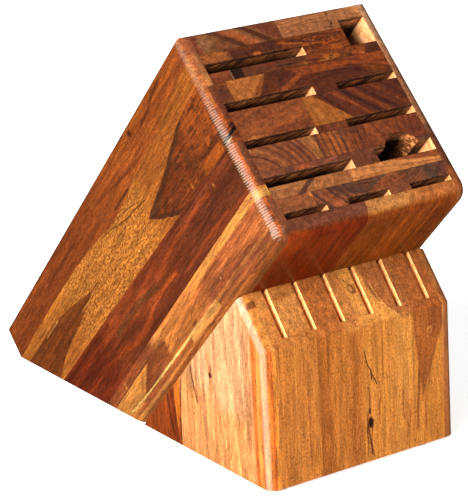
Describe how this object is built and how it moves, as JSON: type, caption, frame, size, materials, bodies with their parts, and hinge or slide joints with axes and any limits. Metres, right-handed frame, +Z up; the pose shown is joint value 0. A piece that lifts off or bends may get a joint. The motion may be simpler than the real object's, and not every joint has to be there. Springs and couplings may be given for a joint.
{
  "type": "knife block",
  "caption": "Slanted acacia wood knife block on a stepped base, with long blade slots, a steel hole, a shear well and a row of steak knife slots; empty.",
  "frame": {"origin": "centre of the footprint, on the plane the rubber feet stand on", "axes": "+Z up, +Y to the back, the base front faces -Y, X across the block"},
  "size_m": [0.128, 0.319, 0.2424],
  "materials": {
    "acacia_red": "satin lacquer, red-brown acacia heartwood",
    "acacia_gold": "satin lacquer, golden acacia sapwood",
    "acacia_dark": "satin lacquer, dark purple-brown acacia heartwood",
    "acacia_brown": "satin lacquer, mid-brown acacia",
    "clear_rubber": "translucent soft rubber"
  },
  "bodies": {
    "root": {"side_l_1": "acacia_red", "side_l_2": "acacia_gold", "side_l_3": "acacia_dark", "side_l_4": "acacia_red", "side_r_1": "acacia_brown", "side_r_2": "acacia_red", "side_r_3": "acacia_gold", "back_1": "acacia_brown", "back_2": "acacia_gold", "board1_1": "acacia_brown", "board1_2": "acacia_dark", "board1_3": "acacia_brown", "board2_1": "acacia_red", "board2_2": "acacia_dark", "board2_3": "acacia_brown", "board3_1": "acacia_red", "board3_2": "acacia_gold", "board4_1": "acacia_red", "board4_2": "acacia_dark", "board5": "acacia_dark", "board6_1": "acacia_brown", "board6_2": "acacia_brown", "board6_3": "acacia_red", "board7_1": "acacia_dark", "board7_2": "acacia_dark", "board8_1": "acacia_brown", "board8_2": "acacia_gold", "board9_1": "acacia_brown", "board9_2": "acacia_dark", "under_1": "acacia_red", "under_2": "acacia_gold", "base_l_1": "acacia_red", "base_l_2": "acacia_gold", "base_l_3": "acacia_red", "base_r_1": "acacia_gold", "base_r_2": "acacia_brown", "base_r_3": "acacia_red", "base_c_1": "acacia_gold", "base_c_2": "acacia_brown", "base_c_3": "acacia_gold", "base_c_4": "acacia_brown", "feet": "clear_rubber"}
  },
  "joints": []
}
